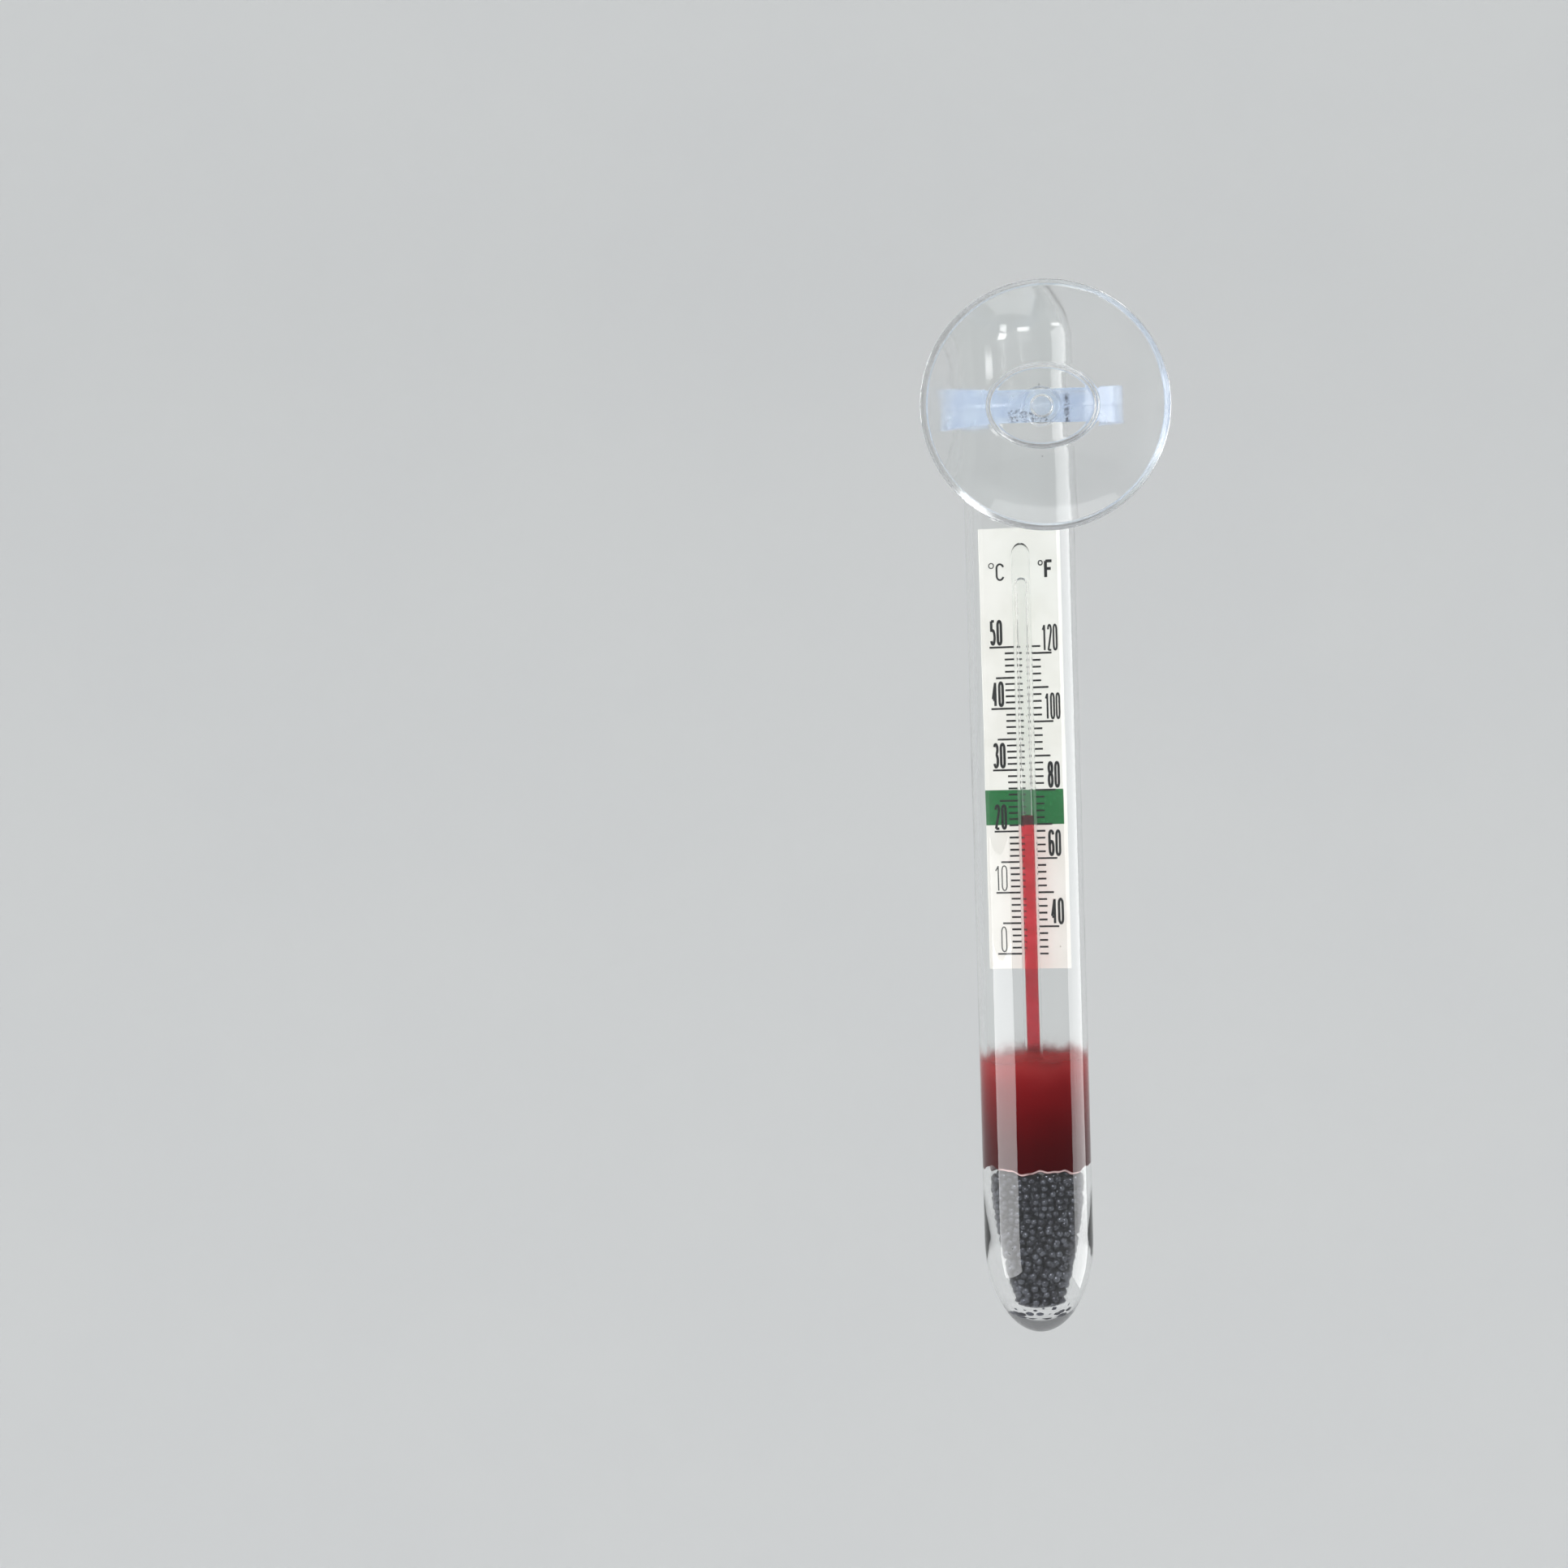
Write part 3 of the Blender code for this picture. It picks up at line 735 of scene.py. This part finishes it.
def wax_wave(angle):
    """How the wax's lower edge wanders round the wall, in metres."""
    return MM * (0.16 * np.sin(2 * angle + 0.6) + 0.20 * np.sin(5 * angle + 2.0)
                 + 0.13 * np.sin(11 * angle + 0.5) + 0.06 * np.sin(23 * angle))


def wax_plug(material):
    """The wax: a plug with a wandering lower edge, a hollow top, a film up the wall, and the bulb's well.

    The lower edge's wander fades out towards the middle and up the side.
    """
    wall_r = CAVITY_R + TOUCH
    well_r = BULB_R + TOUCH
    neck_r = STEM_R + TOUCH
    dish_top = WAX_TOP + WAX_DISH
    bottom = run((0.0, WAX_EDGE + 0.15 * MM), (wall_r - WAX_CURL, WAX_EDGE + 0.15 * MM), 8)
    curl = bow(wall_r - WAX_CURL, WAX_EDGE + WAX_CURL, WAX_CURL, WAX_CURL, -80, 0, 8)
    side = run((wall_r, WAX_EDGE + WAX_CURL), (wall_r, FILM_TOP), 60)[1:]
    film = np.array([(wall_r, FILM_TOP), (wall_r - 1.5 * TOUCH, FILM_TOP), (wall_r - 3 * TOUCH, dish_top)])
    dish = bow(0.55 * wall_r, dish_top, 0.45 * wall_r - 3 * TOUCH, WAX_DISH, 0, -90, 16)[1:]
    climb = bow(STEM_R + 0.5 * MM, WAX_TOP + 0.35 * MM, 0.5 * MM, 0.35 * MM, 270, 180, 8)
    neck = np.array([(neck_r, WAX_TOP - 0.1 * MM), (neck_r, BULB_TOP - 0.7 * MM)])
    shoulder = bow(neck_r, BULB_FLOOR + BULB_SHOULDER, well_r - neck_r, 1.4 * MM, 85, 0, 10)
    well = bow(0.0, BULB_FLOOR + well_r, well_r, well_r, 0, -90, 16)
    profile = np.concatenate([bottom, curl, side, film, dish, climb, neck, shoulder, well])
    profile[[0, -1], 0] = 0.0
    steps = 128
    near = np.clip(1 - (profile[:, 1] - WAX_EDGE) / (2.5 * MM), 0, 1)
    near *= np.clip(profile[:, 0] / wall_r, 0, 1) ** 2
    near[len(bottom) + len(curl) + len(side):] = 0.0
    wave = near[:, None] * wax_wave(np.linspace(0, 2 * np.pi, steps + 1))
    piece = skin("wax_plug", [turned_grid(profile, steps, wave)], 60)
    return set_out(piece, "contents", "red_wax", material, "red_seal")


def bulb_outline(radius, neck_r, floor, top):
    """A bulb's outline from its round bottom up to its neck."""
    shoulder = floor + BULB_SHOULDER
    neck = top - 0.6 * MM
    return np.concatenate([bow(0, floor + radius, radius, radius, -90, 0, 16),
                           bow(neck_r, shoulder, radius - neck_r, neck - shoulder - 0.3 * MM, 0, 85, 10),
                           [(neck_r, neck), (neck_r, top)]])


def spirit_bulb(material):
    """The thin bulb: its outer outline up to the neck, and its inner one back down."""
    outer = bulb_outline(BULB_R, STEM_R, BULB_FLOOR, BULB_TOP)
    inner = bulb_outline(BULB_R - BULB_WALL, BORE_R, BULB_FLOOR + BULB_WALL, BULB_TOP)
    profile = np.concatenate([outer, inner[::-1]])
    profile[[0, -1], 0] = 0.0
    return set_out(skin("bulb_glass", [turned_grid(profile, 64)], 60), "contents", "stem_glass", material,
                   "spirit_bulb")


def spirit_charge(material):
    """The spirit in the bulb, to the top of its shoulder."""
    inset = BULB_WALL - TOUCH
    profile = bulb_outline(BULB_R - inset, BORE_R, BULB_FLOOR + inset, BULB_TOP - 0.7 * MM)
    profile = np.concatenate([profile, [(0.0, profile[-1, 1])]])
    profile[0, 0] = 0.0
    return set_out(skin("bulb_spirit", [turned_grid(profile, 48)], 60), "contents", "red_spirit", material,
                   "spirit_charge")


def capillary(material):
    """The capillary: a thick-walled rod with a rounded tip, and a bore that ends in a small chamber."""
    outer = np.concatenate([run((STEM_R, STEM_FOOT), (STEM_R, STEM_TOP - 1.4 * STEM_R), 60),
                            bow(0, STEM_TOP - 1.4 * STEM_R, STEM_R, 1.4 * STEM_R, 0, 90, 16)])
    chamber = BORE_END - 1.5 * BORE_END_R
    bore = np.concatenate([bow(0, chamber, BORE_END_R, 1.5 * BORE_END_R, 90, 0, 12),
                           bow(BORE_R, chamber, BORE_END_R - BORE_R, 2.0 * BORE_END_R, 0, -90, 8)[1:],
                           run((BORE_R, chamber - 2.0 * BORE_END_R), (BORE_R, STEM_FOOT), 60)[1:],
                           [(BORE_R, STEM_FOOT)]])
    outer[-1, 0] = 0.0
    bore[0, 0] = 0.0
    foot = np.array([(BORE_R, STEM_FOOT), (STEM_R, STEM_FOOT)])
    grids = [turned_grid(part, 64) for part in (outer, bore, foot)]
    return set_out(skin("capillary_glass", grids, 60), "contents", "stem_glass", material, "capillary_stem")


def spirit_thread(material):
    """The red thread below its moving tip, between the bulb and the tip. The thread lengthens and shortens
    in the thermometer; nothing here makes this piece do so.
    """
    radius = BORE_R + TOUCH
    profile = np.concatenate([[(0.0, COLUMN_FOOT)], run((radius, COLUMN_FOOT), (radius, TIP_FOOT), 80),
                              [(radius, TIP_FOOT), (0.0, TIP_FOOT)]])
    piece = skin("spirit_thread", [turned_grid(profile, 48)], 60)
    set_out(piece, None, "red_spirit", material, "spirit_column")
    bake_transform(piece)
    return piece


def spirit_tip(material):
    """The thread's moving top, which ends in a hollow meniscus."""
    radius = BORE_R + TOUCH
    cup = bow(0.0, READING_TOP, radius, 0.3 * radius, 0, -90, 10)
    profile = np.concatenate([[(0.0, TIP_FOOT)], run((radius, TIP_FOOT), (radius, READING_TOP), 10), cup])
    profile[-1, 0] = 0.0
    return set_out(skin("spirit_tip", [turned_grid(profile, 48)], 60), "spirit_tip", "red_spirit", material,
                   "spirit_meniscus")


# ---------------------------------------------------------------- card and print
def card_point(across, height, lift):
    """A place on the card, which bows a little forward at its sides and whose print is a little askew."""
    slope = np.radians(-1.4 + 2.3 * (height - CARD_BOTTOM) / (CARD_TOP - CARD_BOTTOM))
    forward = lift + 0.06 * MM * (across / CARD_HALF) ** 2
    level = FOOT + height + across * np.tan(slope)
    return np.stack([AXIS[0] + across, CARD_FACE - forward, level], axis=-1)


def scale_card(material):
    """The card: a thin flat section with soft edges, carried up from the bottom edge to the top."""
    soft = 0.05 * MM
    front = np.linspace(CARD_HALF - soft, -CARD_HALF + soft, 19)
    section = np.concatenate([
        np.stack([front, np.zeros(19)], -1), [(-CARD_HALF, -soft), (-CARD_HALF, soft - CARD_THICK)],
        np.stack([front[::-1], np.full(19, -CARD_THICK)], -1),
        [(CARD_HALF, soft - CARD_THICK), (CARD_HALF, -soft), (CARD_HALF - soft, 0.0)]])
    height = np.concatenate([[CARD_BOTTOM], np.linspace(CARD_BOTTOM, CARD_TOP, 40), [CARD_TOP]])
    depth = np.ones_like(height)[:, None] * section[:, 1]
    depth[[0, -1]] = -0.5 * CARD_THICK
    flat = np.ones_like(depth)
    grid = card_point(flat * section[:, 0], height[:, None] * flat, depth)[:, ::-1]
    return set_out(skin("scale_card_paper", [grid], 40), "contents", "card_paper", material, "scale_card")


def pen(path, width, lift):
    """One pen stroke on the card: a thin flat section carried along a path, closed at both ends.

    The section's corners lie half the pen's width to each side of the path, square to it.
    """
    step = np.gradient(path, axis=0)
    square = np.stack([-step[:, 1], step[:, 0]], -1) / np.linalg.norm(step, axis=1, keepdims=True)
    reach = 0.5 * width * np.array([1, -1, -1, 1, 1])
    rise = np.array([lift, lift, -INK, -INK, lift])
    across = path[:, :1] + square[:, :1] * reach
    height = path[:, 1:] + square[:, 1:] * reach
    grid = card_point(across, height, np.ones_like(across) * rise)
    ends = card_point(path[[0, -1], :1], path[[0, -1], 1:], np.zeros((2, 1)))
    return np.concatenate([np.repeat(ends[:1], 5, axis=1), grid, np.repeat(ends[1:], 5, axis=1)])


def line(*points):
    """A path through a few points."""
    return np.array(points, float)


# the strokes of each sign, in a box one unit wide and one unit high
FIGURES = {
    "0": [np.concatenate([bow(.5, .80, .5, .20, 0, 180), bow(.5, .20, .5, .20, 180, 360), line((1, .80))])],
    "1": [line((.62, 0), (.62, 1)), line((.10, .80), (.62, .98))],
    "2": [np.concatenate([bow(.5, .80, .5, .20, 175, -30), line((0, 0))]), line((0, 0), (1, 0))],
    "3": [bow(.45, .78, .5, .22, 155, -95), bow(.45, .28, .55, .28, 95, -155)],
    "4": [line((.74, 0), (.74, 1)), line((.74, 1), (0, .30)), line((0, .27), (1.05, .27))],
    "5": [line((.95, 1), (.10, 1)), line((.10, 1), (.08, .55)), bow(.46, .31, .54, .31, 130, -150)],
    "6": [np.concatenate([bow(.5, .81, .5, .19, 10, 180), line((0, .28))]),
          bow(.5, .29, .5, .29, 0, 360, 24)],
    "8": [bow(.5, .77, .46, .23, 0, 360, 24), bow(.5, .28, .5, .28, 0, 360, 24)],
    "C": [np.concatenate([bow(.5, .74, .5, .26, 15, 180), bow(.5, .26, .5, .26, 180, 345)])],
    "F": [line((0, 0), (0, 1)), line((0, 1), (1, 1)), line((0, .53), (.85, .53))],
    "o": [bow(.5, .5, .5, .5, 0, 360, 24)],
}


def lettering(text, left, right, bottom, top, width, gap=0.08 * MM):
    """Pen strokes for condensed figures that fill a box on the card, its sides given in metres."""
    cell = (right - left + gap) / len(text)
    strokes = []
    for place, sign in enumerate(text):
        corner = np.array([left + place * cell + 0.5 * width, bottom + 0.5 * width])
        room = np.array([cell - gap - width, top - bottom - width])
        strokes += [pen(corner + path * room, width, INK) for path in FIGURES[sign]]
    return strokes


def degrees_celsius(value):
    """The height of a reading above the tube's foot."""
    return ZERO_HEIGHT + DEGREE * value


def degrees_fahrenheit(value):
    """The same for a reading in the other unit."""
    return degrees_celsius((value - 32) / 1.8)


def scale_lines(material):
    """The graduations: a line for each degree on the left, and for every second one on the right."""
    rng = np.random.default_rng(5)

    def rule(left, right, height):
        left, right = (np.array([left, right]) + rng.uniform(-0.03, 0.03, 2)) * MM
        return pen(run((left, height), (right, height), 4), PEN * rng.uniform(0.92, 1.05), INK)

    strokes = []
    for value in range(0, 51):
        reach = 3.35 if value % 10 == 0 else 2.75 if value % 5 == 0 else 1.8
        strokes.append(rule(-reach, 0.4, degrees_celsius(value)))
    for value in range(32, 124, 2):
        reach = 3.7 if value % 20 == 0 else 3.15 if value % 10 == 0 else 2.15
        strokes.append(rule(1.0, reach, degrees_fahrenheit(value)))
    return set_out(skin("scale_lines", strokes, 30), "contents", "card_paper", material)


def scale_figures(material):
    """The figures, each just above its own line."""
    clear, bold, light = 0.17 * MM, 0.26 * MM, 0.12 * MM
    strokes = []
    for value, left, right, width in (
            (50, -3.27, -1.98, bold), (40, -3.27, -1.98, bold), (30, -3.27, -1.98, bold),
            (20, -3.30, -2.02, bold), (10, -3.45, -2.15, light), (0, -2.95, -2.35, light)):
        bottom = degrees_celsius(value) + clear
        strokes += lettering(str(value), left * MM, right * MM, bottom, bottom + 2.62 * MM, width)
    for value, left, right, width in (
            (120, 2.02, 3.68, PEN), (100, 2.15, 3.78, PEN), (80, 2.25, 3.56, bold),
            (60, 2.14, 3.50, bold), (40, 2.20, 3.59, bold)):
        bottom = degrees_fahrenheit(value) + clear
        strokes += lettering(str(value), left * MM, right * MM, bottom, bottom + 2.72 * MM, width)
    return set_out(skin("scale_figures", strokes, 30), "contents", "card_paper", material)


def unit_signs(material):
    """The two unit signs at the scale's head."""
    strokes = []
    for sign, left, right, low, high, width in (
            ("o", -3.24, -2.66, 1.25, 1.85, 0.10), ("C", -2.50, -1.62, 0.0, 1.78, 0.19),
            ("o", 1.82, 2.36, 1.38, 1.95, 0.12), ("F", 2.47, 3.42, 0.05, 1.97, 0.30)):
        strokes += lettering(sign, left * MM, right * MM, SIGNS_BOTTOM + low * MM, SIGNS_BOTTOM + high * MM,
                             width * MM)
    return set_out(skin("unit_signs", strokes, 30), "contents", "card_paper", material)


def comfort_band(material):
    """The green stretch of the scale, right across the card."""
    middle = 0.5 * (GREEN_LOW + GREEN_HIGH)
    reach = CARD_HALF - 0.01 * MM
    stretch = pen(run((-reach, middle), (reach, middle), 24), GREEN_HIGH - GREEN_LOW, GREEN_INK)
    return set_out(skin("comfort_band", [stretch], 30), "contents", "card_paper", material)


# ---------------------------------------------------------------- stage, light and camera
def stage(material):
    """A pale floor that curves up into a round wall, turned about a vertical axis.

    The viewer's half is a piece of its own, which shiny surfaces don't mirror: they show the dim room.
    """
    floor = FOOT - STAGE_DROP
    profile = np.concatenate([[(0.0, floor)], run((0.3, floor), (STAGE_FLAT, floor), 6),
                              bow(STAGE_FLAT, floor + STAGE_BEND, STAGE_BEND, STAGE_BEND, -90, 0, 40),
                              [(STAGE_FLAT + STAGE_BEND, floor + STAGE_RISE)]])
    halves = []
    for name, start in (("pale_floor_behind", 0.0), ("pale_floor_before", np.pi)):
        t = np.linspace(start, start + np.pi, 65)
        grid = np.stack([profile[:, :1] * np.cos(t), profile[:, :1] * np.sin(t),
                         profile[:, 1:] * np.ones_like(t)], axis=-1)[:, ::-1]
        half = skin(name, [grid], 180)
        half.data.materials.append(material)
        half.visible_glossy = start == 0.0
        halves.append(half)
    return halves


def softbox(name, azimuth, low, high, width, distance, radiance, lit=None, unlit=None):
    """An upright light that faces the thermometer, between two heights above the tube's foot.

    Azimuth 0 is the viewer's side, and it grows to the right. Clear pieces reflect it but don't
    show it through themselves. It can be kept to some pieces, or kept off some.
    """
    height = high - low
    light = bpy.data.lights.new(name, "AREA")
    light.shape = "RECTANGLE"
    light.size, light.size_y = width, height
    light.energy = radiance * math.pi * width * height
    lamp = bpy.data.objects.new(name, light)
    bpy.context.scene.collection.objects.link(lamp)
    a = math.radians(azimuth)
    back = Vector((math.sin(a), -math.cos(a), 0.0))
    lamp.location = Vector((AXIS[0], AXIS[1], FOOT + 0.5 * (low + high))) + back * distance
    lamp.rotation_mode = "QUATERNION"
    lamp.rotation_quaternion = (-back).to_track_quat("-Z", "Y")
    lamp.visible_camera = False
    lamp.visible_transmission = False
    if lit or unlit:
        group = bpy.data.collections.new(name + "_reach")
        for piece in lit or unlit:
            group.objects.link(piece)
        lamp.light_linking.receiver_collection = group
        for entry in group.collection_objects:
            entry.light_linking.link_state = "INCLUDE" if lit else "EXCLUDE"
    return lamp


def light_stage(floor, cup, tube, pellets):
    """A dim room, lights at the sides for the tube's long highlights, small windows, and one overhead."""
    scene = bpy.context.scene
    scene.world = bpy.data.worlds.new("soft_room")
    scene.world.use_nodes = True
    room = scene.world.node_tree.nodes["Background"].inputs
    room["Color"].default_value = (0.95, 0.97, 1.0, 1)
    room["Strength"].default_value = 0.20
    not_cup = {"unlit": [cup]}
    not_stage = {"unlit": [cup, *floor]}
    for_cup = {"lit": [cup]}
    # name, azimuth, lowest and highest point, width, distance, radiance, and what it lights
    for name, azimuth, low, high, width, distance, radiance, reach in (
            ("left_softbox", -69, -0.33, -0.020, 0.56, 0.62, 5.5, not_stage),
            ("left_softbox_fringe", -69, -0.020, 0.004, 0.56, 0.62, 2.0, not_stage),
            ("right_softbox", 101, -0.33, 0.30, 0.50, 0.62, 3.4, not_stage),
            ("left_pane", -57, 0.0794, 0.096, 0.16, 0.62, 9.0, {"lit": [tube]}),
            ("front_pane", -24, 0.30, 0.42, 0.10, 0.45, 30.0, not_cup),
            ("shot_spark", -12, 0.16, 0.28, 0.12, 0.45, 55.0, {"lit": [pellets]}),
            ("window_low_left", 29, -0.085, -0.065, 0.024, 0.25, 16.0, for_cup),
            ("window_low_middle", 17, -0.106, -0.092, 0.030, 0.25, 16.0, for_cup),
            ("window_low_right", -3, -0.128, -0.116, 0.024, 0.25, 16.0, for_cup),
            ("rim_left", -96, 0.06, 0.26, 0.16, 0.30, 22.0, for_cup),
            ("rim_right", 97, 0.36, 0.56, 0.16, 0.28, 16.0, for_cup),
            ("rim_low", -96, -0.22, -0.10, 0.16, 0.16, 8.0, for_cup)):
        softbox(name, azimuth, low, high, width, distance, radiance, **reach)
    fill = softbox("front_fill", 0, -0.10, 0.40, 0.50, 0.70, 0.65)
    fill.visible_glossy = False
    overhead = softbox("overhead", 0, 0.0, 1.6, 1.6, 0.0, 2.05)
    overhead.location = (AXIS[0], AXIS[1], FOOT + 1.35)
    overhead.rotation_quaternion = (1, 0, 0, 0)


def stand_camera():
    """Level with the thermometer and a little above, with the frame turned so that the tube leans left."""
    distance, azimuth, elevation, roll = 0.500, -0.69, 3.31, 1.73
    lens = bpy.data.cameras.new("front_camera")
    lens.sensor_width = 36.0
    lens.lens = 113.9
    lens.clip_start = 0.01
    camera = bpy.data.objects.new("front_camera", lens)
    bpy.context.scene.collection.objects.link(camera)
    aim = Vector((AXIS[0] - 24.45 * MM, AXIS[1], FOOT + 56.42 * MM))
    a, e = math.radians(azimuth), math.radians(elevation)
    back = Vector((math.sin(a) * math.cos(e), -math.cos(a) * math.cos(e), math.sin(e)))
    camera.location = aim + back * distance
    camera.rotation_mode = "QUATERNION"
    turned = Quaternion((0, 0, 1), math.radians(-roll))
    camera.rotation_quaternion = (-back).to_track_quat("-Z", "Y") @ turned
    bpy.context.scene.camera = camera


def set_light_paths():
    """Plain colours, and light paths long enough for glass inside glass."""
    scene = bpy.context.scene
    scene.view_settings.view_transform = "Standard"
    cycles = scene.cycles
    cycles.max_bounces = 32
    cycles.transmission_bounces = 24
    cycles.glossy_bounces = 6
    cycles.diffuse_bounces = 3
    cycles.transparent_max_bounces = 32
    cycles.caustics_reflective = False
    cycles.caustics_refractive = False


# ---------------------------------------------------------------- assembly
stand_camera()
set_light_paths()

vinyl, blue, glass, fine_glass = clear_vinyl(), blue_vinyl(), tube_glass(), stem_glass()
spirit, metal = red_spirit(), shot_metal()
black = print_ink("black_screen_ink", (0.004, 0.004, 0.005, 1), (0.012, 0.012, 0.013, 1))
green = print_ink("green_screen_ink", (0.003, 0.125, 0.026, 1), (0.006, 0.150, 0.037, 1))

light_stage(stage(stage_paper()), suction_cup(vinyl), tube_envelope(glass), shot_pellets(metal))
ring_clip(blue)
shot_core(metal)
wax_plug(red_wax())
spirit_bulb(fine_glass)
spirit_charge(spirit)
capillary(fine_glass)
spirit_thread(spirit)
spirit_tip(spirit)
scale_card(card_paper())
comfort_band(green)
scale_lines(black)
scale_figures(black)
unit_signs(black)
